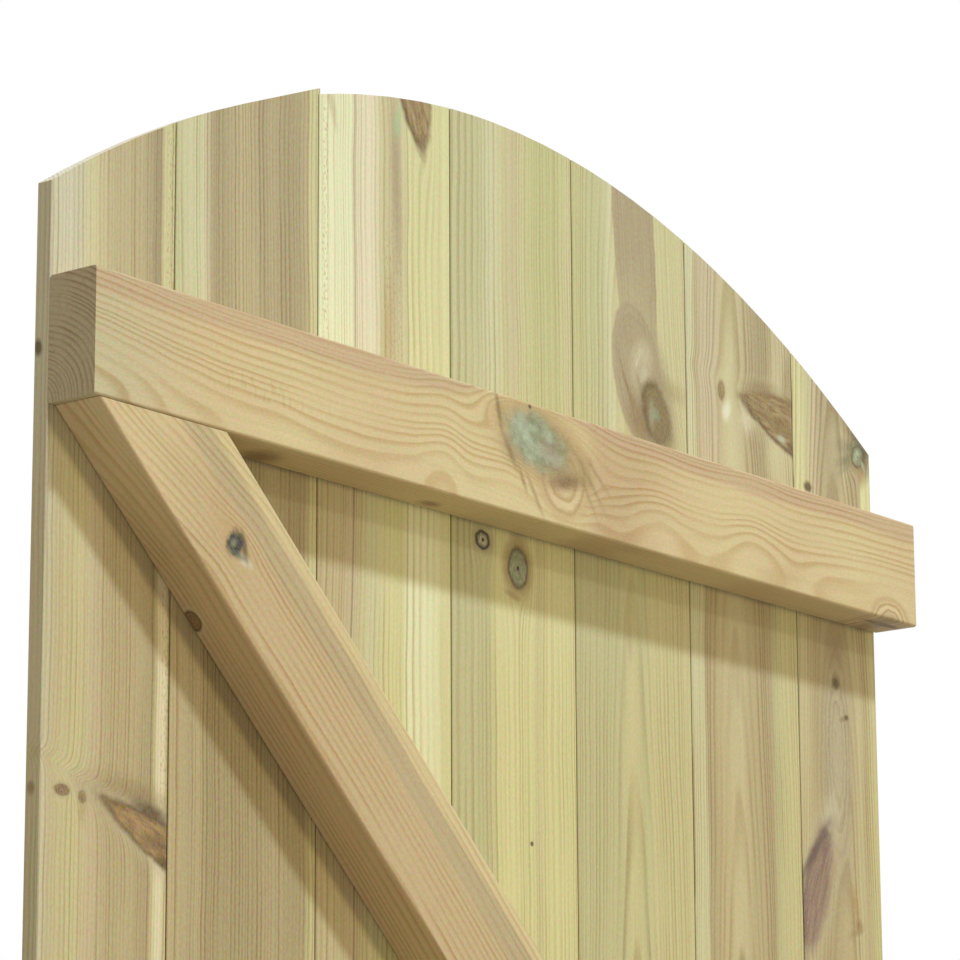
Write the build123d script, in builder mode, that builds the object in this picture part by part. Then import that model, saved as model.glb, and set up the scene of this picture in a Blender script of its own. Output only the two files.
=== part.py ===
"""Arched garden gate leaf: tongue-and-groove boards nailed to three ledges and two diagonal braces.

X runs across the leaf, from the latch side to the hanging side. Y runs through it: the ledges and
braces are on the -Y side and the plain board face is on the +Y side. Z is up, and the origin is at
the middle of the leaf's foot. Sizes are in millimetres and angles in degrees.
"""

from build123d import *
from math import asin, atan2, cos, degrees, hypot, radians, sin, tan
import os

# Overall leaf
gate_width = 900.0
shoulder_height = 1800.0
arch_rise = 148.0
crown_share = 0.489  # where the crown stands across the width, from the latch side

# Matchboards
board_cover = 137.0
board_offset = 3.0  # the full boards stand this far from the middle, towards the hanging side
board_thickness = 12.0
tongue_length = 6.0
tongue_thickness = 3.6
tongue_nose_chamfer = 0.8
tongue_side_clearance = 0.2
tongue_nose_clearance = 0.6
vee_chamfer = 2.5
arris_chamfer = 0.5
face_joint_gap = 0.4
back_joint_gap = 1.2
overcut_board = 2  # the saw left the arch on this board and ran straight on
overcut_length = 74.0

# Ledges
ledge_height = 79.0
ledge_depth = 38.0
top_ledge_drop = 60.0  # shoulder to the top ledge's upper face
foot_margin = 60.0  # foot to the bottom ledge's lower face
ledge_arris_radius = 2.0

# Braces
brace_width = 78.0
brace_depth = 37.0
brace_end_inset = 5.4
brace_end_clearance = 0.3
brace_arris_radius = 2.0

# Nails
nail_length = 40.0
nail_radius = 1.325
nail_point_length = 4.0
nail_tip_radius = 0.2
nail_head_radius = 2.9
nail_head_thickness = 1.1
nail_head_chamfer = 0.35
nail_head_set = 0.2  # depth of the head below the board's face
nail_clearance = 0.1
nail_edge_distance = 28.0
nail_stagger = 18.0  # up or down from the ledge's centre line
brace_nail_end_distance = 13.0

cut_overrun = 20.0

# Across and through the leaf
leaf_depth = board_thickness + ledge_depth
board_face = leaf_depth / 2
board_back = board_face - board_thickness
latch_edge = -gate_width / 2
hanging_edge = gate_width / 2
full_boards = int(gate_width // board_cover) - 1
edge_board_width = (gate_width - full_boards * board_cover) / 2
board_widths = [edge_board_width + board_offset]
board_widths += [board_cover] * full_boards
board_widths += [edge_board_width - board_offset]
joint_lines = [latch_edge + sum(board_widths[:count]) for count in range(len(board_widths) + 1)]

# Up the leaf
crown_x = latch_edge + crown_share * gate_width
crown_height = shoulder_height + arch_rise
top_ledge_z = shoulder_height - top_ledge_drop - ledge_height / 2
bottom_ledge_z = foot_margin + ledge_height / 2
middle_ledge_z = (top_ledge_z + bottom_ledge_z) / 2
ledge_centres = {
    "top_ledge": top_ledge_z,
    "middle_ledge": middle_ledge_z,
    "bottom_ledge": bottom_ledge_z,
}
brace_centres = {
    "upper_brace": (top_ledge_z + middle_ledge_z) / 2,
    "lower_brace": (middle_ledge_z + bottom_ledge_z) / 2,
}

# A brace fills its bay from corner to corner, with its ends cut level to bear on the ledges
bay_height = top_ledge_z - middle_ledge_z - ledge_height - 2 * brace_end_clearance
bay_run = gate_width - 2 * brace_end_inset
brace_angle = degrees(atan2(bay_height, bay_run) + asin(brace_width / hypot(bay_run, bay_height)))
brace_end_width = brace_width / sin(radians(brace_angle))

# The ledges and braces lie on the boards' back, and the nails are driven from their face
frame_seat = Plane.XZ.offset(-board_back)
nail_face = Plane.ZX.offset(board_face)
pilot_face = Plane.ZX.offset(board_back)
pilot_depth = nail_length + nail_head_set - board_thickness + nail_clearance


def arch_height(x):
    """Height of the arch over a place across the leaf: a parabola on each side of the crown."""
    reach = crown_x - latch_edge if x < crown_x else hanging_edge - crown_x
    return crown_height - arch_rise * ((x - crown_x) / reach) ** 2


def arch_slope(x):
    """Rise of the arch for each millimetre across the leaf."""
    reach = crown_x - latch_edge if x < crown_x else hanging_edge - crown_x
    return -2 * arch_rise * (x - crown_x) / reach**2


def ledge_nail_places(centre_z):
    """Height and place across of two nails for each board, staggered along a ledge."""
    places = []
    for left, right in zip(joint_lines, joint_lines[1:]):
        places.append((centre_z + nail_stagger, left + nail_edge_distance))
        places.append((centre_z - nail_stagger, right - nail_edge_distance))
    return places


def brace_nail_places(centre_z):
    """Height and place across of two nails for each board that a brace crosses, on its centre line."""
    reach = (bay_run - brace_end_width) / 2 - brace_nail_end_distance
    across = [left + nail_edge_distance for left in joint_lines[:-1]]
    across += [right - nail_edge_distance for right in joint_lines[1:]]
    return [(centre_z - x * tan(radians(brace_angle)), x) for x in sorted(across) if abs(x) < reach]


nail_places = {name: ledge_nail_places(z) for name, z in ledge_centres.items()}
nail_places |= {name: brace_nail_places(z) for name, z in brace_centres.items()}

os.makedirs("parts", exist_ok=True)

# Outline of the leaf inside the arch, drawn on the ledge side
with BuildSketch() as arch:
    with BuildLine():
        Bezier(
            (latch_edge, shoulder_height),
            ((latch_edge + crown_x) / 2, crown_height),
            (crown_x, crown_height),
        )
        Bezier(
            (crown_x, crown_height),
            ((crown_x + hanging_edge) / 2, crown_height),
            (hanging_edge, shoulder_height),
        )
        Polyline(
            (hanging_edge, shoulder_height),
            (hanging_edge + cut_overrun, shoulder_height),
            (hanging_edge + cut_overrun, -cut_overrun),
            (latch_edge - cut_overrun, -cut_overrun),
            (latch_edge - cut_overrun, shoulder_height),
            (latch_edge, shoulder_height),
        )
    make_face()

# Matchboards: groove towards the latch side, tongue towards the hanging side, vee on the face
tongue_back = board_back + (board_thickness - tongue_thickness) / 2
tongue_front = tongue_back + tongue_thickness

for number, (left, right) in enumerate(zip(joint_lines, joint_lines[1:]), start=1):
    first = number == 1
    last = number == len(board_widths)
    back_edge = right if last else right - back_joint_gap
    face_edge = right if last else right - face_joint_gap
    joint_step = [] if last else [(back_edge, tongue_front), (face_edge, tongue_front)]
    with BuildPart() as board:
        with BuildSketch() as section:
            with BuildLine():
                Polyline(
                    (left, board_back),
                    (back_edge, board_back),
                    *joint_step,
                    (face_edge, board_face),
                    (left, board_face),
                    close=True,
                )
            make_face()
            chamfer(section.vertices().group_by(Axis.Y)[0], arris_chamfer)
            face_corners = section.vertices().group_by(Axis.Y)[-1]
            chamfer(face_corners.sort_by(Axis.X)[0], arris_chamfer if first else vee_chamfer)
            face_corners = section.vertices().group_by(Axis.Y)[-1]
            chamfer(face_corners.sort_by(Axis.X)[-1], arris_chamfer if last else vee_chamfer)
            if not last:
                tongue_nose = right + tongue_length
                with BuildLine():
                    Polyline(
                        (back_edge, tongue_back),
                        (tongue_nose - tongue_nose_chamfer, tongue_back),
                        (tongue_nose, tongue_back + tongue_nose_chamfer),
                        (tongue_nose, tongue_front - tongue_nose_chamfer),
                        (tongue_nose - tongue_nose_chamfer, tongue_front),
                        (back_edge, tongue_front),
                        close=True,
                    )
                make_face()
            if not first:
                with Locations((left, (tongue_back + tongue_front) / 2)):
                    Rectangle(
                        2 * (tongue_length + tongue_nose_clearance),
                        tongue_thickness + 2 * tongue_side_clearance,
                        mode=Mode.SUBTRACT,
                    )
        extrude(amount=crown_height + cut_overrun)

        # The arch is sawn through the boards, and runs on straight over the end of the overcut one
        with BuildSketch(Plane.XZ):
            add(arch.sketch)
            if number == overcut_board:
                leave = right - overcut_length
                run_end = right + cut_overrun
                with BuildLine():
                    Polyline(
                        (leave, arch_height(leave)),
                        (run_end, arch_height(leave) + arch_slope(leave) * (run_end - leave)),
                        (run_end, -cut_overrun),
                        (leave, -cut_overrun),
                        close=True,
                    )
                make_face()
        extrude(amount=leaf_depth, both=True, mode=Mode.INTERSECT)

        board_nails = [(z, x) for row in nail_places.values() for z, x in row if left < x < right]
        with Locations(nail_face):
            with Locations(*board_nails):
                CounterBoreHole(
                    radius=nail_radius + nail_clearance,
                    counter_bore_radius=nail_head_radius + nail_clearance,
                    counter_bore_depth=nail_head_thickness + nail_head_set,
                    depth=board_thickness + cut_overrun,
                )
    board.part.label = f"board_{number}"
    export_step(board.part, f"parts/board_{number}.step")

# Ledges: planed rails with eased arrises, flush with the leaf's edges
for name, centre_z in ledge_centres.items():
    with BuildPart() as ledge:
        with BuildSketch(frame_seat):
            with Locations((0, centre_z)):
                Rectangle(gate_width, ledge_height)
        extrude(amount=ledge_depth)
        fillet(ledge.edges().filter_by(Axis.X), ledge_arris_radius)
        with Locations(pilot_face):
            with Locations(*nail_places[name]):
                Hole(nail_radius + nail_clearance, depth=pilot_depth)
    ledge.part.label = name
    export_step(ledge.part, f"parts/{name}.step")

# Braces: from the latch side at the top of a bay down to the hanging side
for name, centre_z in brace_centres.items():
    top_z = centre_z + bay_height / 2
    foot_z = centre_z - bay_height / 2
    with BuildPart() as brace:
        with BuildSketch(frame_seat):
            with BuildLine():
                Polyline(
                    (-bay_run / 2, top_z),
                    (-bay_run / 2 + brace_end_width, top_z),
                    (bay_run / 2, foot_z),
                    (bay_run / 2 - brace_end_width, foot_z),
                    close=True,
                )
            make_face()
        extrude(amount=brace_depth)
        grain = Axis((0, 0, 0), (cos(radians(brace_angle)), 0, -sin(radians(brace_angle))))
        fillet(brace.edges().filter_by(grain), brace_arris_radius)
        with Locations(pilot_face):
            with Locations(*nail_places[name]):
                Hole(nail_radius + nail_clearance, depth=pilot_depth)
    brace.part.label = name
    export_step(brace.part, f"parts/{name}.step")

# Round wire nails, heads set just below the boards' face
with BuildPart() as nail:
    with BuildSketch(Plane.XZ):
        with BuildLine():
            Polyline(
                (0, -nail_head_set),
                (nail_head_radius - nail_head_chamfer, -nail_head_set),
                (nail_head_radius, -nail_head_set - nail_head_chamfer),
                (nail_head_radius, -nail_head_set - nail_head_thickness),
                (nail_radius, -nail_head_set - nail_head_thickness),
                (nail_radius, -nail_head_set - nail_length + nail_point_length),
                (nail_tip_radius, -nail_head_set - nail_length),
                (0, -nail_head_set - nail_length),
                close=True,
            )
        make_face()
    revolve(axis=Axis.Z)

for name, places in nail_places.items():
    with BuildPart() as nails:
        with Locations(nail_face):
            with Locations(*places):
                add(nail.part)
    nails.part.label = f"{name}_nails"
    export_step(nails.part, f"parts/{name}_nails.step")
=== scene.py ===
"""Looks of an arched garden gate leaf: pressure-treated softwood boards, ledges, braces and nails.

Sizes are in millimetres in the gate's own frame: X runs across the leaf, Y through it and Z up it.
Each timber is coloured by its own grain: year rings round a pith, parted by the knots that cross it.
"""

from math import atan2, cos, hypot, pi, radians, sin

import bpy
from mathutils import Matrix, Vector


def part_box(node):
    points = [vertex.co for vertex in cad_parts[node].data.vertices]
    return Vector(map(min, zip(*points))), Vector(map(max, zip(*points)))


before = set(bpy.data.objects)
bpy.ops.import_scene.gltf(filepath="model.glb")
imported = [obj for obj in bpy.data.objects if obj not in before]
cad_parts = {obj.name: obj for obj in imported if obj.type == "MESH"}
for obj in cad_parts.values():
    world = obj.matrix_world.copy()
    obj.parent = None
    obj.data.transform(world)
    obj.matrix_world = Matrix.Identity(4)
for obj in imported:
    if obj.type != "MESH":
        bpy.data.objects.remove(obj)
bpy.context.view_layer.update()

MM = 0.001


def low(node):
    """A node's lowest corner, in millimetres."""
    return [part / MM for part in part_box(node)[0]]


def high(node):
    """A node's highest corner, in millimetres."""
    return [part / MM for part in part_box(node)[1]]


def middle_height(node):
    """Height of a node's middle, in millimetres."""
    return (low(node)[2] + high(node)[2]) / 2


BOARD_BACK = low("board_1")[1]  # depth in a board is measured from here
BANDS_TURN = middle_height("top_ledge") + 40.0  # a board's lower bands of tint begin under this height
LEDGE_UNDERSIDE = -39.5  # a ledge's lower face, from its centre line
BRACE_UNDERSIDE = -39.0  # a brace's lower face, from its centre line
PITH_HEIGHT = 1600.0  # a board's pith is given at this height
BAND_SPAN = 150.0  # a ramp's whole length stands for this width of a board
BAND_LEAN = 0.25  # a board's bands lie this much further over for each unit of depth
PATH_SPAN = 200.0  # a ramp's whole range stands for this range of a rail's pith, half of it below zero
SLOW_SHARE = 5.0  # slow stray of the grain, in shares of its timber's wander
QUICK_SHARE = 2.0  # quicker stray of the grain, in the same shares
FINE_STRAY = 0.9  # finest stray of the grain
RING_GROUP = 7.0  # year rings lie closer and wider in groups of about this many
RING_STRAY = 3.0  # rings by which such a group can be early or late
KNOT_DRIFT = 0.22  # a knot climbs this much for each unit of depth
NARROWEST = 0.15  # least share of its width that a tapered knot keeps
GRIT = 0.10  # strength of the fine speckle on all the wood
GRAIN_RELIEF = 0.35  # height of the fibres and the late wood
WOOD_ROUGHNESS = 0.60
ZINC_CLOUDS = 900.0  # mottling of the nails, for each metre
ZINC_SPECKS = 2600.0
ZINC_RELIEF = 0.05

# Wood tints in 0 to 255, as they look in plain daylight
TINTS = {
    "white sap": (236, 233, 204),
    "cream": (232, 230, 189),
    "rose cream": (228, 217, 184),
    "straw": (218, 212, 160),
    "pale sap": (206, 199, 169),
    "mint sap": (210, 205, 165),
    "green sap": (198, 193, 149),
    "leaf sap": (199, 194, 142),
    "khaki": (206, 198, 151),
    "buff": (208, 199, 155),
    "sand": (202, 190, 150),
    "rose sand": (203, 188, 154),
    "oat": (198, 183, 143),
    "tan": (191, 176, 137),
    "fawn": (184, 169, 132),
    "brown": (176, 161, 124),
    "dull brown": (167, 151, 116),
    "honey": (213, 193, 145),
    "peach": (210, 187, 142),
    "clay": (197, 172, 129),
    "amber": (186, 156, 108),
    "spike tan": (170, 138, 90),
    "spike brown": (148, 116, 70),
    "olive": (158, 138, 92),
    "dark olive": (134, 114, 72),
    "knot olive": (140, 126, 92),
    "knot brown": (138, 112, 74),
    "knot dark": (96, 78, 50),
    "bark": (66, 56, 42),
    "deep moss": (108, 110, 84),
    "moss": (138, 140, 106),
    "grey moss": (160, 162, 128),
    "lichen": (174, 182, 150),
    "pale moss": (182, 190, 158),
    "leaf": (168, 186, 138),
    "rose clay": (196, 168, 134),
    "pale olive": (172, 152, 108),
    "rose brown": (158, 134, 108),
    "plum": (136, 110, 90),
    "plum dark": (104, 82, 70),
    "slate": (84, 88, 78),
    "bone": (206, 194, 158),
    "end grey": (186, 172, 140),
    "end brown": (150, 130, 96),
}

# Shades that multiply the wood's colour: its dark year lines, a painted shade of warmer, dimmer light low
# on the boards below the top ledge, and the pinker, greener and darker of its fine streaks and small clouds
BOARD_LINE_SHADE = (0.72, 0.65, 0.56, 1.0)
RAIL_LINE_SHADE = (0.77, 0.66, 0.52, 1.0)
LOW_PAINTED_SHADE = (0.945, 0.90, 0.80, 1.0)
PINK_STREAK = (1.04, 0.985, 0.99, 1.0)
GREEN_STREAK = (0.95, 1.01, 0.96, 1.0)
DARK_STREAK = (0.84, 0.80, 0.74, 1.0)
PINK_CLOUD = (1.035, 0.985, 0.995, 1.0)
GREEN_CLOUD = (0.965, 1.01, 0.97, 1.0)

# Galvanised wire, and the surroundings as they are seen and as they light the gate
PALE_ZINC = (0.52, 0.53, 0.54, 1.0)
DARK_ZINC = (0.30, 0.31, 0.32, 1.0)
ZINC_SPOT = (0.16, 0.14, 0.12, 1.0)
WHITE = (1.0, 1.0, 1.0, 1.0)
SKY_LIGHT = (0.45, 0.40, 0.325, 1.0)
FLOOR_SEEN = (0.66, 0.66, 0.65, 1.0)
FLOOR_LIGHT = (0.30, 0.26, 0.21, 1.0)

# How a knot looks: body and second tint, core tint and its share of the knot's size, rim tint, width and
# strength (edge), tint and strength of the stained wood round it, softness and raggedness of its edge,
# width (weft) and length (fibre) of the grain inside it, and its rings: their pitch, strength and tint,
# and the inner share of the knot that is bare of them. A look has the values here where it gives no other.
KNOT_BASE = dict(ragged=0.34, weft=1.7, fibre=9, pitch=1.8, rings=0.22, ring="knot dark", bare=0.0)
KNOT_LOOKS = {
    "plain": dict(body="knot brown", mottle="spike brown", rim="knot dark", width=0.3, edge=0.8,
                  stain="tan", stained=0.6, soft=0.16),
    "ringed": dict(body="bone", mottle="grey moss", core="bark", core_size=0.19, rim="bark", width=0.52,
                   edge=0.95, stain="dull brown", stained=0.6, soft=0.14, ragged=0.45),
    "moss": dict(body="grey moss", mottle="moss", core="bark", core_size=0.13, rim="knot dark",
                 width=0.24, edge=0.8, stain="olive", stained=0.7, soft=0.14, weft=4, fibre=4,
                 rings=0.15),
    "mint": dict(body="moss", mottle="lichen", rim="olive", width=0.38, edge=0.8, stain="spike tan",
                 stained=0.5, soft=0.26, rings=0.08, ragged=0.50, weft=9, fibre=11),
    "egg": dict(body="knot olive", mottle="dark olive", core="moss", core_size=0.20, rim="knot dark",
                width=0.30, edge=0.6, stain="dull brown", stained=0.25, soft=0.20, rings=0.12, fibre=4),
    "tongue": dict(body="brown", mottle="dull brown", rim="brown", width=0.20, edge=0.7, stain="khaki",
                   stained=0.2, soft=0.05, pitch=4.2, rings=0.10, bare=0.6, ragged=0.12, fibre=90),
    "arches": dict(body="pale sap", mottle="tan", rim="fawn", width=0.5, edge=0.6, stain="brown",
                   stained=0.3, soft=0.45, rings=0.0, ragged=0.16),
    "small": dict(body="olive", mottle="knot brown", rim="knot brown", width=0.5, edge=0.7, stain="brown",
                  stained=0.5, soft=0.25, rings=0.3),
    "spike": dict(body="spike tan", mottle="knot brown", rim="knot dark", width=0.22, edge=0.7,
                  stain="fawn", stained=0.5, soft=0.18, weft=4, fibre=16, rings=0.12),
    "wedge": dict(body="pale olive", mottle="knot brown", rim="knot dark", width=0.18, edge=0.8,
                  stain="khaki", stained=0.3, soft=0.12, weft=4, fibre=16, rings=0.12),
    "plum": dict(body="plum", mottle="rose brown", rim="plum dark", width=0.45, edge=0.6, stain="tan",
                 stained=0.5, soft=0.36, rings=0.1, weft=4, fibre=24),
    "char": dict(body="slate", mottle="bark", rim="bark", width=0.3, edge=0.4, stain="amber", stained=0.6,
                 soft=0.34, ragged=0.9),
    "loops": dict(body="peach", mottle="honey", rim="amber", width=0.22, edge=0.6, stain="honey",
                  stained=0.2, soft=0.16, pitch=8.5, rings=0.5, ring="amber", ragged=0.10),
    "eye": dict(body="peach", mottle="honey", rim="amber", width=0.22, edge=0.7, stain="honey",
                stained=0.3, soft=0.20, pitch=5.0, rings=0.6, ring="amber", bare=0.3, ragged=0.14),
    "arcs": dict(body="fawn", mottle="brown", rim="dull brown", width=0.3, edge=0.3, stain="tan",
                 stained=0.2, soft=0.45, pitch=4.2, rings=0.34, ring="dull brown", bare=0.3, ragged=0.10),
}


def paint(tint):
    """A tint as the linear colour that a shader takes, by the curve of screen colours."""
    shares = [part / 255 for part in TINTS[tint]]
    return tuple(((share + 0.055) / 1.055) ** 2.4 for share in shares) + (1.0,)


class Socket:
    """An output of a material's node, so that shader sums read as plain sums."""

    def __init__(self, tree, link):
        self.tree = tree
        self.link = link

    def node(self, kind, settings=None, values=None, output=0):
        """Adds a node of any type: first its settings, then the values or links of its sockets."""
        made = self.tree.nodes.new(kind)
        for name, value in (settings or {}).items():
            if name == "stops":
                lay_stops(made.color_ramp, value)
            elif name == "between":
                made.color_ramp.interpolation = value
            else:
                setattr(made, name, value)
        for name, value in (values or {}).items():
            if isinstance(value, Socket):
                self.tree.links.new(value.link, made.inputs[name])
            else:
                made.inputs[name].default_value = value
        return Socket(self.tree, made.outputs[output]) if made.outputs else None

    def math(self, operation, *terms):
        """A sum on this and other values."""
        return self.node("ShaderNodeMath", {"operation": operation}, dict(enumerate(terms)))

    def __add__(self, other):
        return self.math("ADD", self, other)

    def __radd__(self, other):
        return self.math("ADD", other, self)

    def __sub__(self, other):
        return self.math("SUBTRACT", self, other)

    def __rsub__(self, other):
        return self.math("SUBTRACT", other, self)

    def __mul__(self, other):
        return self.math("MULTIPLY", self, other)

    def __rmul__(self, other):
        return self.math("MULTIPLY", other, self)

    def __truediv__(self, other):
        return self.math("DIVIDE", self, other)

    def __rtruediv__(self, other):
        return self.math("DIVIDE", other, self)

    def __pow__(self, other):
        return self.math("POWER", self, other)

    def __abs__(self):
        return self.math("ABSOLUTE", self)

    def least(self, other):
        """The larger of the two, so never under the other."""
        return self.math("MAXIMUM", self, other)

    def square_root(self):
        return self.math("SQRT", self)

    def floor(self):
        return self.math("FLOOR", self)

    def fract(self):
        return self.math("FRACT", self)

    def rise(self, start, end):
        """0 up to start, 1 from end on, and a soft step between. With start over end it falls."""
        ends = {0: self, 1: start, 2: end}
        return self.node("ShaderNodeMapRange", {"interpolation_type": "SMOOTHSTEP"}, ends)

    def blend(self, first, second, way="MIX"):
        """Mixes two colours, with this value as the second one's share."""
        kind = {"data_type": "RGBA", "blend_type": way}
        return self.node("ShaderNodeMix", kind, {0: self, 6: first, 7: second}, 2)

    def by(self, other):
        """Multiplies two colours."""
        kind = {"data_type": "RGBA", "blend_type": "MULTIPLY"}
        return self.node("ShaderNodeMix", kind, {0: 1.0, 6: self, 7: other}, 2)

    def lit_by(self, grain, share):
        """Lightens and darkens a colour by another one round its middle grey."""
        kind = {"data_type": "RGBA", "blend_type": "LINEAR_LIGHT"}
        return self.node("ShaderNodeMix", kind, {0: share, 6: self, 7: grain}, 2)

    def along(self, direction):
        """How far a place lies along a direction."""
        kind = {"operation": "DOT_PRODUCT"}
        return self.node("ShaderNodeVectorMath", kind, {0: self, 1: direction}, "Value")

    def ramp(self, stops, between="LINEAR"):
        """The colour at this value on a ramp of stops, each a place from 0 to 1 and a colour."""
        return self.node("ShaderNodeValToRGB", {"stops": stops, "between": between}, {0: self})

    def part(self, name):
        """The Red, Green or Blue part of a colour."""
        return self.node("ShaderNodeSeparateColor", None, {0: self}, name)


def lay_stops(ramp, stops):
    """Fills a colour ramp with its stops, each a place from 0 to 1 and a colour."""
    while len(ramp.elements) < len(stops):
        ramp.elements.new(1.0)
    for element, (place, colour) in zip(ramp.elements, stops):
        element.position = place
        element.color = colour


def clear_nodes(owner):
    """Empties the nodes of a material or a world, and gives the socket that new ones start from."""
    owner.use_nodes = True
    owner.node_tree.nodes.clear()
    return Socket(owner.node_tree, None)


class Spot:
    """A place on a timber with its own colour: its middle and its half sizes."""

    def __init__(self, across, along, wide, long, lean=0.0, taper=0.0, middle=0.0, deep=None):
        self.across = across
        self.along = along
        self.wide = wide
        self.long = long
        self.lean = radians(lean)  # turns its length from the grain towards across
        self.taper = taper  # how much wider it grows towards its length's far end
        self.middle = middle  # depth of its middle
        self.deep = deep  # half its depth, or none where it runs right through


class Mark(Spot):
    """A stain, pin or scratch that the grain doesn't part for."""

    def __init__(self, across, along, wide, long, tint, share=0.7, soft=0.5, **lie):
        super().__init__(across, along, wide, long, **lie)
        self.tint = tint
        self.share = share
        self.soft = soft


class Knot(Spot):
    """A knot, and how the grain runs by it."""

    def __init__(self, across, along, wide, long, look, parting=1.0, flow=1.7, heavy=None, **lie):
        super().__init__(across, along, wide, long, **lie)
        self.look = {**KNOT_BASE, **KNOT_LOOKS[look]}
        self.parting = parting  # how far the grain bends round it
        self.flow = flow  # how far along the grain that bend reaches
        self.heavy = heavy  # the side where its rim is darkest, in degrees from its width


class Wood:
    """The finish of one timber, with the grain's own coordinates in millimetres."""

    def __init__(self, name, along, across, start, seed):
        self.material = bpy.data.materials.new(name)
        self.root = clear_nodes(self.material)
        self.seed = seed
        self.grain = along
        place = self.root.node("ShaderNodeTexCoord", output="Object")
        self.along = place.along([part / MM for part in along]) - start[0]
        self.across = place.along([part / MM for part in across]) - start[1]
        self.depth = place.along((0.0, 1 / MM, 0.0)) - start[2]

    def noise(self, across, depth, along, detail=2.0, seed=0.0, output=0):
        """Smooth noise on three of the timber's coordinates, each already divided by its own scale."""
        values = {0: across + (self.seed + seed), 1: depth, 2: along}
        spot = self.root.node("ShaderNodeCombineXYZ", None, values)
        values = {"Vector": spot, "Scale": 1.0, "Detail": detail}
        return self.root.node("ShaderNodeTexNoise", None, values, output)

    def mottle(self, wide, deep, long, detail=2.0, seed=0.0, across=None, output=0):
        """Smooth noise whose patches have a size across, through and along the timber, in millimetres."""
        across = across or self.across
        return self.noise(across / wide, self.depth / deep, self.along / long, detail, seed, output)

    def wave(self, value, detail=1.0, seed=0.0):
        """Smooth noise on one value."""
        values = {"W": value + (self.seed + seed), "Scale": 1.0, "Detail": detail}
        return self.root.node("ShaderNodeTexNoise", {"noise_dimensions": "1D"}, values)

    def lie(self, spot):
        """Where a point lies on a spot's own length and width, in half sizes from its middle."""
        side = self.across - spot.across
        rise = self.along - self.depth * KNOT_DRIFT - spot.along
        length = (rise * cos(spot.lean) + side * sin(spot.lean)) / spot.long
        width = (side * cos(spot.lean) - rise * sin(spot.lean)) / spot.wide
        if spot.taper:
            width = width / (1 + length * spot.taper).least(NARROWEST)
        return length, width

    def reach(self, spot, length, width):
        """How far a point is from a spot's middle: 1 at its rim."""
        square = length * length + width * width
        if spot.deep:
            through = (self.depth - spot.middle) / spot.deep
            square = square + through * through
        return square.square_root()

    def part_grain(self, spots, wander):
        """Moves the across coordinate as the grain wanders and parts round the knots."""
        slow = self.wave(self.along / 330) - 0.5
        quick = self.mottle(60, 60, 75, detail=1.0, seed=7.0) - 0.5
        fine = self.mottle(9, 20, 26, detail=1.0, seed=9.0) - 0.5
        across = self.across + slow * (wander * SLOW_SHARE) + quick * (wander * QUICK_SHARE)
        across = across + fine * FINE_STRAY
        for knot in spots:
            if not isinstance(knot, Knot) or not knot.parting:
                continue
            length, width = self.lie(knot)
            reach = self.reach(knot, length / knot.flow, width)
            share = knot.parting / reach.least(1.0) ** 3.0
            across = across - (self.across - knot.across) * share
        return across

    def years(self, radius, spacing, spread):
        """Late wood of each year ring: 1 at its dark line, 0 in the pale early wood."""
        uneven = self.wave(radius / (spacing * RING_GROUP), detail=2.0, seed=3.0) - 0.5
        phase = radius / spacing + uneven * RING_STRAY
        share = phase.fract()
        values = {"W": phase.floor() + self.seed}
        chance = self.root.node("ShaderNodeTexWhiteNoise", {"noise_dimensions": "1D"}, values)
        fade = self.mottle(25, 25, 140, detail=1.0, seed=13.0)
        strength = (chance * (2 * spread) + (1 - spread)) * (fade.rise(0.25, 0.6) * 0.8 + 0.2)
        slow_start = share.rise(0.34, 0.80)
        sharp_end = share.rise(1.0, 0.86)
        return slow_start * sharp_end * strength

    def tint_mark(self, colour, mark, ragged):
        """Lays a stain or pin over the wood."""
        reach = self.reach(mark, *self.lie(mark)) + ragged * 0.5
        cover = reach.rise(1 + mark.soft, 1 - mark.soft) * mark.share
        return cover.blend(colour, paint(mark.tint))

    def tint_knot(self, colour, knot):
        """Lays a knot's own colours over the wood."""
        look = knot.look
        length, width = self.lie(knot)
        size = min(knot.wide, knot.long)
        patch = size * 0.7
        ragged = self.mottle(patch, 20, patch, seed=knot.along) - 0.5
        reach = self.reach(knot, length, width) + ragged * look["ragged"]
        weft = width * (knot.wide / look["weft"])
        warp = length * (knot.long / look["fibre"])
        grainy = self.noise(weft, self.depth / 6, warp, seed=61.0)
        body = grainy.rise(0.32, 0.68).blend(paint(look["body"]), paint(look["mottle"]))
        turns = (reach * (size / look["pitch"]) + ragged * 0.7).fract()
        rings = turns.rise(0.3, 0.8) * turns.rise(1.0, 0.85)
        rings = rings * reach.rise(look["bare"], look["bare"] + 0.2) * look["rings"]
        body = rings.blend(body, paint(look["ring"]), "MULTIPLY")
        if "core" in look:
            core = reach.rise(look["core_size"] * 1.5, look["core_size"] * 0.6)
            body = core.blend(body, paint(look["core"]))
        rim = reach.rise(1 - look["width"] * 1.3, 1 - look["width"] * 0.35) * look["edge"]
        if knot.heavy is not None:
            turned = radians(knot.heavy)
            facing = (width * cos(turned) + length * sin(turned)) / reach.least(0.2)
            rim = rim * (facing.rise(-0.5, 0.7) * 0.9 + 0.1)
        body = rim.blend(body, paint(look["rim"]))
        stain = reach.rise(1.9, 0.95) * look["stained"]
        colour = stain.blend(colour, paint(look["stain"]))
        return reach.rise(1 + look["soft"], 1 - look["soft"]).blend(colour, body)

    def tint_spots(self, colour, spots):
        """Lays all the timber's marks and knots over the wood, in their order."""
        ragged = self.mottle(4, 8, 7, seed=67.0) - 0.5
        for spot in spots:
            if isinstance(spot, Knot):
                colour = self.tint_knot(colour, spot)
            else:
                colour = self.tint_mark(colour, spot, ragged)
        return colour

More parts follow.
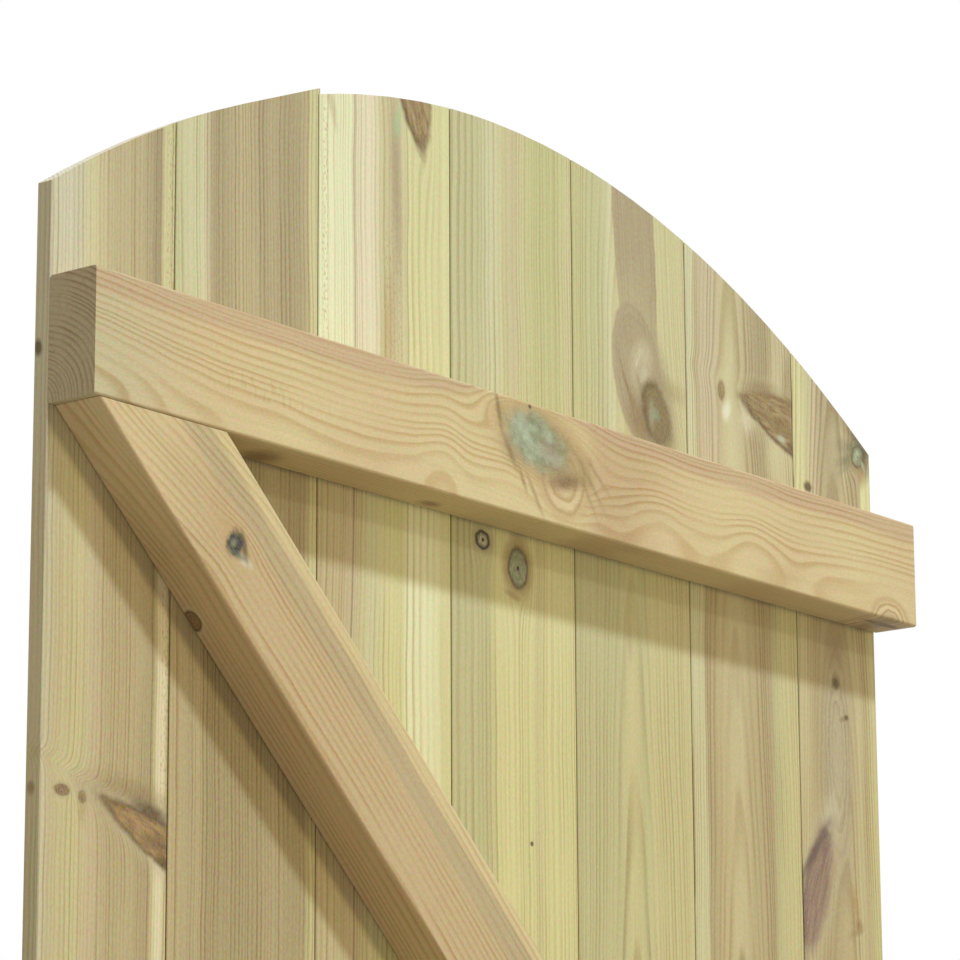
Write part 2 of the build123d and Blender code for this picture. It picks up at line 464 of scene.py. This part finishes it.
    def fleck(self, colour, left, right, foot, head, share, wide=1.6, long=2.8):
        """Small dark marks that the planer left along a strip."""
        inside = self.across.rise(left - 1, left + 1) * self.across.rise(right + 1, right - 1)
        inside = inside * self.along.rise(foot - 20, foot + 20) * self.along.rise(head + 20, head - 20)
        marks = self.mottle(wide, 8, long, detail=0.0, seed=71.0)
        return (inside * marks.rise(0.50, 0.72) * share).blend(colour, paint("fawn"), "MULTIPLY")

    def finish(self, colour, late, fibre):
        """Ends the grain at the timber's ends, adds its fine grit and joins the colour to the shader."""
        normal = self.root.node("ShaderNodeTexCoord", output="Normal")
        end = abs(normal.along(self.grain)).rise(0.55, 0.8)
        sawn = self.mottle(2.2, 2.2, 2.2, detail=3.0, seed=19.0)
        tips = (late * 0.95).blend(paint("end grey"), paint("end brown"))
        tips = (sawn.rise(0.45, 0.75) * 0.35).blend(tips, paint("moss"))
        colour = (end * 0.85).blend(colour, tips)
        grit = self.mottle(1.1, 1.1, 2.6, detail=1.0, seed=47.0, output="Color")
        colour = colour.lit_by(grit, GRIT)
        height = fibre * 0.55 + late * 0.5 + end * sawn * 1.6
        values = {"Strength": 0.35, "Distance": GRAIN_RELIEF * MM, "Height": height}
        bump = self.root.node("ShaderNodeBump", None, values, "Normal")
        shader = self.root.node("ShaderNodeBsdfPrincipled", None, {
            "Base Color": colour,
            "Roughness": WOOD_ROUGHNESS + fibre * 0.12 + end * 0.15,
            "Specular IOR Level": 0.3,
            "Normal": bump,
        })
        self.root.node("ShaderNodeOutputMaterial", None, {"Surface": shader})
        return self.material


def streak(wood, colour, across, strength=1.0):
    """Fine streaks along the grain: lighter and darker, pinker and greener."""
    broad = wood.mottle(4.5, 9, 420, seed=23.0, across=across)
    hue = wood.mottle(2.6, 7, 200, detail=1.0, seed=29.0, across=across)
    fibre = wood.mottle(0.9, 1.2, 34, seed=31.0, across=across)
    tinge = hue.rise(0.42, 0.58).blend(PINK_STREAK, GREEN_STREAK)
    colour = (hue.rise(0.3, 0.7) * strength).blend(colour, tinge, "MULTIPLY")
    cloud = wood.mottle(3.2, 3.2, 4.5, detail=1.0, seed=37.0, across=across)
    colour = colour.by(cloud.rise(0.36, 0.64).blend(PINK_CLOUD, GREEN_CLOUD))
    dark = (broad.rise(0.62, 0.30) * 0.30 + fibre.rise(0.6, 0.25) * 0.22) * strength
    return dark.blend(colour, DARK_STREAK, "MULTIPLY"), fibre


def spread_bands(place, bands):
    """A board's bands of tint across it, as one ramp."""
    return place.ramp([(spot / BAND_SPAN, paint(tint)) for spot, tint in bands])


def board_wood(name, seed, left, bands, low_bands, pith, spacing, spots, lines=1.0, scores=(), flecks=()):
    """A matchboard: listed bands of colour across it, fine year lines, and its knots and marks."""
    start = (0.0, left, BOARD_BACK)
    wood = Wood(name, along=(0.0, 0.0, 1.0), across=(1.0, 0.0, 0.0), start=start, seed=seed)
    across = wood.part_grain(spots, wander=1.6)
    pith_across, pith_depth, taper = pith
    side = across - pith_across
    deep = wood.depth + (wood.along - PITH_HEIGHT) * taper - pith_depth
    radius = (side * side + deep * deep).square_root()
    late = wood.years(radius, spacing, spread=0.65)
    ragged = wood.mottle(3, 3, 150, detail=1.0, seed=41.0, across=across) - 0.5
    place = (across + wood.depth * BAND_LEAN + ragged * 2.6) / BAND_SPAN
    fall = (wood.along + ragged * 90).rise(BANDS_TURN, BANDS_TURN - 100)
    colour = fall.blend(spread_bands(place, bands), spread_bands(place, low_bands))
    # Painted shade: the light made warmer and dimmer low on the board, fading in below the top ledge
    low_shade_share = wood.along.rise(BANDS_TURN, BANDS_TURN - 240)
    colour = low_shade_share.blend(colour, LOW_PAINTED_SHADE, "MULTIPLY")
    colour, fibre = streak(wood, colour, across)
    colour = (late * lines).blend(colour, BOARD_LINE_SHADE, "MULTIPLY")
    for spot, share in scores:
        near = abs(across - spot).rise(1.3, 0.2) * share
        colour = near.blend(colour, paint("knot brown"), "MULTIPLY")
    for strip in flecks:
        colour = wood.fleck(colour, *strip)
    colour = wood.tint_spots(colour, spots)
    return wood.finish(colour, late, fibre)


def rail_wood(name, seed, along, across, start, path, spacing, tints, spots, lines=0.76, strips=(),
              flecks=()):
    """A ledge or brace: year rings round a pith that wanders along it, and tints that change along it."""
    wood = Wood(name, along, across, start, seed)
    moved = wood.part_grain(spots, wander=0.5)
    first, last = path[0][0], path[-1][0]
    stations = []
    for spot, height, deep in path:
        place = (height / PATH_SPAN + 0.5, deep / PATH_SPAN + 0.5, 0.0, 1.0)
        stations.append(((spot - first) / (last - first), place))
    pith = ((wood.along - first) / (last - first)).ramp(stations, "CARDINAL")
    side = moved - (pith.part("Red") - 0.5) * PATH_SPAN
    deep = wood.depth - (pith.part("Green") - 0.5) * PATH_SPAN
    roll = wood.mottle(30, 30, 60, detail=1.0, seed=5.0) - 0.5
    radius = (side * side + deep * deep).square_root() + roll * 1.8
    late = wood.years(radius, spacing, spread=0.35)
    blur = wood.mottle(40, 40, 90, detail=1.0, seed=43.0) - 0.5
    length = tints[-1][0] - tints[0][0]
    stops = [((spot - tints[0][0]) / length, paint(tint)) for spot, tint in tints]
    colour = ((wood.along + blur * 70 - tints[0][0]) / length).ramp(stops)
    place = moved + blur * 8
    for low_edge, high_edge, tint, share in strips:
        inside = place.rise(low_edge - 3, low_edge + 3) * place.rise(high_edge + 3, high_edge - 3)
        colour = (inside * share).blend(colour, paint(tint))
    colour, fibre = streak(wood, colour, moved, strength=0.7)
    colour = (late * lines).blend(colour, RAIL_LINE_SHADE, "MULTIPLY")
    for strip in flecks:
        colour = wood.fleck(colour, *strip)
    colour = wood.tint_spots(colour, spots)
    return wood.finish(colour, late, fibre)


def zinc():
    """Dull galvanised wire: mottled grey with small darker spots."""
    material = bpy.data.materials.new("galvanised wire")
    root = clear_nodes(material)
    place = root.node("ShaderNodeTexCoord", output="Object")
    cloud = root.node("ShaderNodeTexNoise", None, {"Vector": place, "Scale": ZINC_CLOUDS, "Detail": 3.0})
    speck = root.node("ShaderNodeTexNoise", None, {"Vector": place, "Scale": ZINC_SPECKS, "Detail": 1.0})
    spots = speck.rise(0.60, 0.70) * 0.5
    colour = cloud.rise(0.35, 0.65).blend(DARK_ZINC, PALE_ZINC)
    colour = spots.blend(colour, ZINC_SPOT)
    values = {"Strength": 0.4, "Distance": ZINC_RELIEF * MM, "Height": cloud}
    bump = root.node("ShaderNodeBump", None, values, "Normal")
    shader = root.node("ShaderNodeBsdfPrincipled", None, {
        "Base Color": colour,
        "Metallic": 0.85 - spots,
        "Roughness": 0.42 + cloud * 0.2,
        "Normal": bump,
    })
    root.node("ShaderNodeOutputMaterial", None, {"Surface": shader})
    return material


def dress(node, material):
    """Gives a node one material all over."""
    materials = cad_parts[node].data.materials
    materials.clear()
    materials.append(material)


# A mark is given by its middle across and along the timber, half its width and half its length, its tint,
# the tint's share and its softness, and a knot by the same sizes and its look. Along is the height on a
# board, and the distance from the gate's middle on a ledge or brace. Both are laid on in the order given.

# Each board: seed, bands of tint from its groove side above and below the top ledge, pith (across, depth,
# taper), ring spacing, strength of its year lines, dark lines (across, strength), and planer marks (left,
# right, foot, head, strength)
BOARDS = {
    "board_1": dict(
        seed=1.0,
        bands=[(0, "pale sap"), (24, "pale sap"), (36, "buff"), (46, "sand"), (56, "tan"), (78, "tan"),
               (86, "fawn"), (93, "dull brown"), (98, "dull brown"), (99.5, "khaki"), (110, "khaki")],
        low_bands=[(0, "pale sap"), (12, "sand"), (28, "buff"), (42, "rose sand"), (58, "tan"),
                   (76, "tan"), (88, "fawn"), (91, "fawn"), (92.5, "dull brown"), (94.5, "tan"),
                   (96.5, "buff"), (99, "rose cream"), (103, "rose cream"), (107, "buff"), (110, "sand")],
        pith=(-60, 70, 0.004), spacing=2.6, lines=0.68, flecks=[(102, 111, 1430, 1948, 0.35)],
        spots=[
            Mark(0, 1695, 2.6, 5, "knot dark", 0.9, middle=8.8, deep=3),
            Mark(0, 1430, 3, 4, "knot brown", 0.7, middle=7.3, deep=3),
            Mark(84, 1433, 32, 10, "knot brown", 0.6, 0.8, lean=12),
            Knot(18.4, 1432, 6.5, 3.6, "small", parting=0.45),
            Mark(35.7, 1424, 3.0, 9, "spike tan", 0.5, 0.8),
            Knot(35.7, 1430, 3.4, 4.0, "small", parting=0.5),
            Knot(104, 1410, 13, 58, "spike", lean=-68, taper=-0.4, parting=0.25, flow=1.2),
            Mark(95, 1428, 14, 4, "knot dark", 0.9, 0.8, lean=15),
            Mark(106, 1409, 8, 5, "knot dark", 0.5, 0.8, lean=16),
            Mark(106, 1399, 6, 3, "knot dark", 0.7, 0.7, lean=14),
            Knot(46, 940, 7, 9, "ringed"),
            Knot(70, 420, 5, 7, "plain"),
        ]),
    "board_2": dict(
        seed=2.0,
        bands=[(0, "green sap"), (26, "mint sap"), (31, "rose sand"), (35, "brown"), (46, "brown"),
               (54, "fawn"), (62, "tan"), (70, "tan"), (78, "fawn"), (85, "brown"), (92, "fawn"),
               (100, "brown"), (118, "brown"), (126, "tan"), (128.5, "khaki"), (137, "khaki")],
        low_bands=[(0, "oat"), (10, "tan"), (20, "fawn"), (28, "tan"), (34, "brown"), (70, "brown"),
                   (92, "fawn"), (118, "brown"), (126, "fawn"), (128.5, "khaki"), (137, "khaki")],
        pith=(190, 60, 0.004), spacing=3.0, lines=0.9,
        spots=[
            Knot(96, 1215, 6, 8, "plain"),
            Knot(40, 700, 9, 12, "moss"),
        ]),
    "board_3": dict(
        seed=3.0,
        bands=[(0, "cream"), (32, "cream"), (37, "rose cream"), (54, "rose cream"), (66, "buff"),
               (75, "sand"), (88, "buff"), (93, "straw"), (137, "straw")],
        low_bands=[(0, "oat"), (24, "oat"), (36, "rose sand"), (46, "buff"), (55, "mint sap"),
                   (72, "straw"), (84, "straw"), (93, "cream"), (112, "cream"), (137, "straw")],
        pith=(150, 90, 0.004), spacing=3.0, lines=0.64, scores=[(35.7, 0.5), (91, 0.35)],
        flecks=[(3, 9, 1745, 1920, 0.45), (66, 86, 1745, 1850, 0.25)],
        spots=[
            Mark(12, 1917, 16, 3, "olive", 0.4, 0.7, lean=75),
            Mark(79, 1880, 4.5, 58, "dull brown", 0.8, 0.8, lean=-2),
            Mark(71, 1778, 5.5, 34, "amber", 0.45, 0.8, lean=5),
            Mark(80.5, 1922, 3.4, 12, "leaf", 0.8, 0.6, lean=12),
            Knot(94.5, 1960, 20, 56, "wedge", lean=-14, taper=0.3, parting=0.35, flow=1.15, heavy=195),
            Knot(60, 1010, 8, 10, "moss"),
            Mark(30, 330, 3, 4, "knot dark", 0.9, 0.4),
        ]),
    "board_4": dict(
        seed=4.0,
        bands=[(0, "green sap"), (30, "green sap"), (44, "mint sap"), (58, "khaki"), (68, "sand"),
               (77, "khaki"), (92, "leaf sap"), (118, "leaf sap"), (130, "khaki"), (137, "khaki")],
        low_bands=[(0, "green sap"), (38, "green sap"), (50, "straw"), (86, "straw"), (92, "khaki"),
                   (102, "straw"), (137, "straw")],
        pith=(-35, 80, 0.004), spacing=3.4, lines=0.66, scores=[(108, 0.15)],
        spots=[
            Mark(71.7, 1660, 8, 28, "fawn", 0.8, 0.7),
            Mark(71.7, 1637.3, 15, 15, "spike tan", 0.6, 0.4),
            Mark(66, 1617.5, 8, 2.2, "olive", 0.6, 0.7, lean=12),
            Knot(33, 1650.2, 8.2, 7.0, "ringed"),
            Knot(71.7, 1637.3, 11.2, 14.5, "moss"),
            Mark(85, 1451, 1.9, 1.7, "knot dark", 0.9, 0.35),
            Knot(52, 760, 7, 8, "ringed"),
        ]),
    "board_5": dict(
        seed=5.0,
        bands=[(0, "leaf sap"), (38, "green sap"), (46, "mint sap"), (56, "khaki"), (100, "khaki"),
               (137, "khaki")],
        low_bands=[(0, "green sap"), (52, "green sap"), (62, "khaki"), (70, "khaki"), (78, "green sap"),
                   (90, "khaki"), (137, "khaki")],
        pith=(66, 52, -0.022), spacing=2.4, lines=0.74,
        spots=[
            Mark(62.6, 1605, 2.0, 12, "brown", 0.6, 0.8),
            Knot(73.5, 1912, 25, 150, "tongue", lean=-4, parting=0, heavy=180),
            Knot(76, 1802, 29, 52, "tongue", lean=-12, parting=0, heavy=180),
            Mark(106, 1790, 12, 42, "dull brown", 0.8, 0.6, lean=-14),
            Mark(82, 1790, 18, 40, "dull brown", 0.5, 0.8, lean=-10),
            Knot(81, 1811, 12, 17, "arches", lean=18, parting=0),
            Mark(83, 1806, 7, 12, "brown", 0.6, 0.5, lean=18),
            Mark(84, 1803, 3.5, 7, "pale sap", 0.5, 0.7, lean=18),
            Mark(83, 1767, 17, 13, "knot brown", 0.75, 0.9, lean=30),
            Mark(65, 1787, 1.6, 24, "knot brown", 0.5, 0.9, lean=-24),
            Mark(74, 1777, 2.0, 22, "knot brown", 0.5, 0.9, lean=-36),
            Mark(82, 1787, 1.8, 17, "knot brown", 0.5, 0.9, lean=-24),
            Mark(102, 1801, 7, 7, "dull brown", 0.6, 0.8),
            Mark(120, 1798, 15, 7, "olive", 0.4, 0.8, lean=10),
            Knot(98.5, 1777, 16.5, 25, "egg", lean=-24, heavy=140, flow=1.8),
            Mark(93, 1776, 3.5, 10, "grey moss", 0.6, 0.6),
            Knot(80, 1120, 6, 8, "plain"),
            Knot(35, 560, 10, 13, "moss"),
        ]),
    "board_6": dict(
        seed=6.0,
        bands=[(0, "mint sap"), (9, "mint sap"), (13, "tan"), (20, "rose sand"), (36, "rose sand"),
               (44, "oat"), (52, "buff"), (62, "sand"), (76, "tan"), (84, "fawn"), (92, "brown"),
               (101, "brown"), (109, "tan"), (118, "sand"), (137, "sand")],
        low_bands=[(0, "mint sap"), (15, "mint sap"), (19, "fawn"), (28, "tan"), (40, "oat"),
                   (52, "sand"), (62, "sand"), (76, "tan"), (99, "fawn"), (106, "green sap"),
                   (118, "khaki"), (137, "khaki")],
        pith=(56, 52, -0.022), spacing=2.4, lines=0.9,
        spots=[
            Mark(57.5, 1590, 2.0, 9, "brown", 0.5, 0.8),
            Mark(50, 1798, 4.5, 8, "white sap", 0.65, 0.7, lean=20),
            Knot(43.5, 1812, 4.6, 7.4, "small", parting=0.6, heavy=0),
            Mark(108, 1772, 8, 18, "khaki", 0.6, 0.8),
            Mark(76, 1796, 8, 9, "rose cream", 0.5, 0.9),
            Knot(143, 1800, 23.5, 77, "wedge", lean=-80, taper=-0.40, parting=0.09, flow=1.15, heavy=180),
            Mark(131, 1832, 7, 28, "knot brown", 0.42, 0.8, lean=8),
            Mark(97, 1823, 20, 6, "knot brown", 0.6, 0.8, lean=-4),
            Mark(118, 1799, 20, 3, "dark olive", 0.6, 0.8, lean=16),
            Mark(97, 1806, 16, 4, "dark olive", 0.5, 0.9, lean=8),
            Mark(121, 1790, 5, 2.4, "pale moss", 0.8, 0.5, lean=10),
            Mark(133, 1786, 4, 4, "knot dark", 0.6, 0.6),
            Knot(90, 1060, 8, 11, "egg"),
            Mark(60, 250, 3, 4, "knot dark", 0.9, 0.4),
        ]),
    "board_7": dict(
        seed=7.0,
        bands=[(0, "straw"), (8, "straw"), (15, "khaki"), (28, "rose sand"), (35, "fawn"), (61, "fawn"),
               (68, "oat"), (76, "fawn"), (86, "fawn"), (90, "straw"), (104.5, "straw")],
        low_bands=[(0, "sand"), (13, "sand"), (20, "tan"), (28, "fawn"), (46, "fawn"), (54, "tan"),
                   (76, "sand"), (84, "tan"), (94, "khaki"), (104.5, "khaki")],
        pith=(52, 52, -0.03), spacing=2.6,
        spots=[
            Mark(18.3, 1759.6, 5, 4, "knot dark", 0.9, 0.5),
            Mark(74, 1791, 14, 4, "deep moss", 0.6, 0.8, lean=-22),
            Mark(68, 1800, 8, 6, "deep moss", 0.4, 0.9),
            Mark(70, 1783, 12, 2, "moss", 0.5, 0.8, lean=-30),
            Mark(84, 1812, 20, 7, "knot brown", 0.6, 0.7, lean=32),
            Mark(98, 1788, 8, 10, "knot olive", 0.7, 0.7, lean=30),
            Knot(88.3, 1796, 8.5, 10, "moss", lean=35, flow=1.5),
            Mark(80, 1801, 6, 5, "deep moss", 0.6, 0.8, lean=32),
            Mark(92, 1806, 13, 4.5, "deep moss", 0.8, 0.6, lean=32),
            Mark(97, 1796, 5, 9, "knot dark", 0.6, 0.7, lean=20),
            Mark(87, 1797, 3.0, 4.0, "pale moss", 0.6, 0.6, lean=30),
            Mark(95, 1790, 2.0, 4.0, "pale moss", 0.6, 0.6, lean=-30),
            Mark(92, 1781, 4, 8, "spike tan", 0.6, 0.7),
            Knot(50, 1562, 18, 88, "arcs", parting=0.5, flow=1.2),
            Mark(49.4, 1640, 11, 14, "knot brown", 0.35, 0.8),
            Mark(49.4, 1614, 4.6, 4.2, "knot dark", 0.9, 0.6),
            Mark(60, 1588.5, 6, 1.8, "knot brown", 0.6, 0.7, lean=-14),
            Mark(63, 1590, 2.6, 2, "knot dark", 0.8, 0.6, lean=-14),
            Mark(36, 1508, 7, 20, "pale sap", 0.5, 0.8, lean=22),
            Mark(38, 1468, 2.5, 32, "amber", 0.7, 0.8, lean=22),
            Mark(31, 1466, 3.0, 36, "rose cream", 0.4, 0.8, lean=22),
            Knot(16.5, 1455, 17, 52, "plum", lean=20.7, parting=0.5, flow=1.2, heavy=160),
            Mark(14, 1482, 3.5, 26, "plum dark", 0.8, 0.8, lean=40),
            Mark(30, 1499, 6, 4, "plum dark", 0.5, 0.8),
            Mark(69.5, 1449, 3.4, 13, "spike tan", 0.75, 0.7, lean=-10),
            Mark(73, 1434, 4.6, 5, "spike brown", 0.7, 0.7),
            Mark(69, 1429, 10, 2.4, "olive", 0.65, 0.8, lean=-22),
            Knot(50, 800, 6, 8, "ringed"),
        ]),
}
for node, looks in BOARDS.items():
    dress(node, board_wood(node + " wood", left=low(node)[0], **looks))

# Ledges run along X, with across measured up from their centre line and depth from their front. Each has
# strips of tint (from, to, tint, share) and the path of its pith (along, across, depth).
LEDGE_TINTS = [(-450, "oat"), (-430, "oat"), (-350, "peach"), (-270, "honey"), (-190, "peach"),
               (-110, "honey"), (20, "honey"), (50, "clay"), (90, "clay"), (130, "peach"), (210, "honey"),
               (290, "peach"), (370, "honey"), (450, "peach")]
LEDGES = {
    "top_ledge": dict(
        seed=11.0, spacing=3.2, strips=[(25, 60, "rose clay", 0.7)],
        flecks=[(-14, 0, -340, -262, 0.18, 9.0, 3.0)],
        path=[(-450, -38, 45), (-395, -38, 51), (-340, -38, 55), (-265, -38, 57), (-200, -38, 58),
              (-150, -37, 56.5), (-120, -36, 54), (-92, -37, 57), (-50, -34, 56), (40, -34, 57),
              (75, -34, 59), (118, -34, 56.5), (152, -33, 59), (195, -32, 59), (235, -32, 56),
              (282, -32, 60), (330, -32, 58.5), (390, -32, 58), (450, -32, 57.5)],
        spots=[
            Mark(LEDGE_UNDERSIDE, -277, 6, 14, "knot brown", 0.9, 0.8, middle=28, deep=13),
            Mark(LEDGE_UNDERSIDE, -109, 3, 9, "knot brown", 0.8, 0.8, middle=27, deep=5),
            Mark(-33, 265, 8, 26, "amber", 0.45, 0.8, lean=10),
            Mark(12, -10, 30, 60, "amber", 0.4, 0.6, lean=-14),
            Knot(-6, 8, 29, 29, "loops", parting=0.5, flow=1.3),
            Knot(13, -17, 19, 37, "mint", lean=-13, parting=1.1, flow=1.5, heavy=90),
            Mark(22, -38, 7, 8, "pale moss", 0.4, 0.8),
            Mark(9, -6, 8, 13, "rose brown", 0.5, 0.8, lean=-20),
            Mark(24, -18, 7, 9, "moss", 0.4, 0.9),
            Mark(3, -48, 8, 9, "moss", 0.4, 0.9, lean=-30),
            Mark(-8, 12, 5, 17, "knot brown", 0.95, 0.8, lean=12),
            Mark(3, 30, 8, 11, "olive", 0.6, 0.9, lean=-50),
            Mark(28, -63, 2.2, 13, "knot brown", 0.75, 0.8, lean=-76),
            Mark(2, -51, 2.4, 12, "knot brown", 0.7, 0.8, lean=-56),
            Mark(-15, -37, 1.8, 8, "knot brown", 0.6, 0.8, lean=-62),
            Mark(-23, -24, 1.8, 15, "knot brown", 0.5, 0.8, lean=-56),
            Mark(-6, 41, 1.8, 17, "knot brown", 0.4, 0.9, lean=-48),
            Mark(3, 46, 1.8, 15, "knot brown", 0.4, 0.9, lean=-40),
            Mark(-14, 36, 1.6, 14, "knot brown", 0.35, 0.9, lean=-56),
            Mark(36.6, -28.8, 1.4, 1.6, "knot dark", 0.9, 0.5),
            Knot(-42, 414, 19, 27, "eye", parting=0.6, flow=1.5),
            Mark(-41, 416, 5, 12, "knot brown", 0.7, 0.9),
            Knot(LEDGE_UNDERSIDE, 422, 8, 22, "small", middle=15, deep=4, parting=0),
        ]),
    "middle_ledge": dict(
        seed=12.0, spacing=3.2, strips=[(24, 60, "honey", 0.6)],
        path=[(-450, 20, 48), (-300, 16, 52), (-150, 22, 50), (0, 18, 55), (150, 12, 50), (300, 18, 54),
              (450, 22, 50)],
        spots=[
            Knot(-6, 210, 11, 12, "moss"),
            Knot(14, -260, 6, 7, "ringed"),
        ]),
    "bottom_ledge": dict(
        seed=13.0, spacing=3.0, strips=[(-60, -20, "clay", 0.6)],
        path=[(-450, 30, 34), (-300, 34, 38), (-150, 28, 33), (0, 32, 38), (150, 36, 34), (300, 30, 39),
              (450, 34, 35)],
        spots=[
            Knot(16, 80, 8, 9, "egg"),
            Mark(-20, 330, 3, 4, "knot dark", 0.9, 0.4),
        ]),
}
for node, looks in LEDGES.items():
    start = (0.0, middle_height(node), low(node)[1])
    dress(node, rail_wood(node + " wood", along=(1.0, 0.0, 0.0), across=(0.0, 0.0, 1.0), start=start,
                          tints=LEDGE_TINTS, **looks))

# Braces fall from the latch side, with across measured up from their centre line and depth from their front
BRACE_TINTS = [(-600, "peach"), (-520, "peach"), (-460, "clay"), (-280, "clay"), (100, "clay"),
               (600, "peach")]
BRACE_STRIPS = [(27, 60, "honey", 0.9), (10, 27, "brown", 0.5)]
BRACES = {
    "upper_brace": dict(
        seed=21.0, spacing=3.9,
        path=[(-600, -92, 60), (-520, -80, 60), (-450, -66, 58), (-400, -60, 60), (-200, -60, 60),
              (0, -62, 62), (300, -58, 58), (600, -60, 60)],
        spots=[
            Mark(-5, -440, 10, 22, "amber", 0.55, 0.8),
            Mark(-7, -424, 3.4, 8, "bone", 0.9, 0.5, lean=14),
            Knot(-6, -436, 8.0, 7.0, "char", lean=8, parting=0.8, flow=2.4),
            Mark(-1, -429, 2.6, 9, "bark", 0.7, 0.7, lean=-32),
            Mark(-10, -431, 2.2, 8, "slate", 0.7, 0.7, lean=25),
            Mark(-7, -437, 2.6, 2.4, "moss", 0.7, 0.7),
            Knot(BRACE_UNDERSIDE, -414, 6, 8, "plain", middle=33, deep=6, parting=0),
            Knot(18, 180, 7, 9, "moss"),
        ]),
    "lower_brace": dict(
        seed=22.0, spacing=3.8,
        path=[(-600, 50, 52), (-300, 44, 56), (0, 52, 50), (300, 46, 55), (600, 52, 52)],
        spots=[
            Knot(12, -120, 9, 11, "ringed"),
            Knot(-16, 300, 5, 6, "plain"),
        ]),
}
CUT_SHARE = 0.1286  # the level cut's share of the brace's run
for node, looks in BRACES.items():
    bottom, top = low(node), high(node)
    fall = atan2(top[2] - bottom[2], (top[0] - bottom[0]) * (1 - CUT_SHARE))
    along = (cos(fall), 0.0, -sin(fall))
    across = (sin(fall), 0.0, cos(fall))
    middle = middle_height(node)
    start = (-sin(fall) * middle, cos(fall) * middle, bottom[1])
    dress(node, rail_wood(node + " wood", along=along, across=across, start=start, tints=BRACE_TINTS,
                          strips=BRACE_STRIPS, **looks))

wire = zinc()
for node in [*LEDGES, *BRACES]:
    dress(node + "_nails", wire)

# Camera, from the photograph's perspective: it stands low on the latch side and looks up
LENS = 153.612
SENSOR = 36.0
YAW = radians(51.8836)
PITCH = radians(13.4491)
ROLL = radians(-0.2859)
CAMERA_PLACE = Vector((-2.14237, -1.64047, 1.05056))

ahead = Vector((sin(YAW) * cos(PITCH), cos(YAW) * cos(PITCH), sin(PITCH)))
level = Vector((cos(YAW), -sin(YAW), 0.0))
upright = level.cross(ahead)
right = level * cos(ROLL) + upright * sin(ROLL)
up = upright * cos(ROLL) - level * sin(ROLL)
camera = bpy.data.objects.new("camera", bpy.data.cameras.new("camera"))
bpy.context.collection.objects.link(camera)
camera.data.lens = LENS
camera.data.sensor_width = SENSOR
camera.matrix_world = Matrix.Translation(CAMERA_PLACE) @ Matrix((right, up, -ahead)).transposed().to_4x4()
bpy.context.scene.camera = camera


def lamp(name, towards, share, width, colour):
    """A distant lamp, wide by some degrees, that gives an upright face turned its way a share of light."""
    data = bpy.data.lights.new(name, "SUN")
    towards = Vector(towards).normalized()
    data.energy = pi * share / hypot(towards.x, towards.y)
    data.angle = radians(width)
    data.color = colour
    made = bpy.data.objects.new(name, data)
    bpy.context.collection.objects.link(made)
    made.rotation_mode = "QUATERNION"
    made.rotation_quaternion = towards.to_track_quat("Z", "Y")


lamp("high front lamp", (-0.04, -1.0, 1.42), 0.42, 5.0, (0.80, 0.975, 1.26))
lamp("low front lamp", (0.0, -1.0, 0.53), 0.085, 5.0, (1.0, 1.0, 1.05))
lamp("side front lamp", (0.4, -1.0, 0.05), 0.145, 6.0, (1.18, 1.0, 0.55))
lamp("left lamp", (-1.0, -0.12, 0.03), 0.075, 20.0, (1.0, 1.0, 1.0))
lamp("back lamp", (0.35, 1.0, 0.9), 0.60, 12.0, (0.93, 1.02, 1.13))


def seen(root):
    """1 for light that is seen straight, mirrored or through glass, and 0 for the rest."""
    straight, mirrored, through = (root.node("ShaderNodeLightPath", output=name)
                                   for name in ("Is Camera Ray", "Is Glossy Ray", "Is Transmission Ray"))
    return straight.least(mirrored).least(through)


# White surroundings for what is seen, and softer warm light from them on the gate
world = bpy.data.worlds.new("studio")
sky = clear_nodes(world)
glow = seen(sky).blend(SKY_LIGHT, WHITE)
air = sky.node("ShaderNodeBackground", None, {"Color": glow, "Strength": 1.0})
sky.node("ShaderNodeOutputWorld", None, {"Surface": air})
bpy.context.scene.world = world

# Pale floor under the gate's foot, half its width in metres
FLOOR_HALF = 30.0
floor_mesh = bpy.data.meshes.new("floor")
corners = [(x * FLOOR_HALF, y * FLOOR_HALF, 0.0) for x, y in ((-1, -1), (1, -1), (1, 1), (-1, 1))]
floor_mesh.from_pydata(corners, [], [(0, 1, 2, 3)])
floor = bpy.data.objects.new("floor", floor_mesh)
bpy.context.collection.objects.link(floor)
plaster = bpy.data.materials.new("floor")
ground = clear_nodes(plaster)
tone = seen(ground).blend(FLOOR_LIGHT, FLOOR_SEEN)
chalk = ground.node("ShaderNodeBsdfDiffuse", None, {"Color": tone})
ground.node("ShaderNodeOutputMaterial", None, {"Surface": chalk})
floor_mesh.materials.append(plaster)

bpy.context.scene.view_settings.view_transform = "Standard"
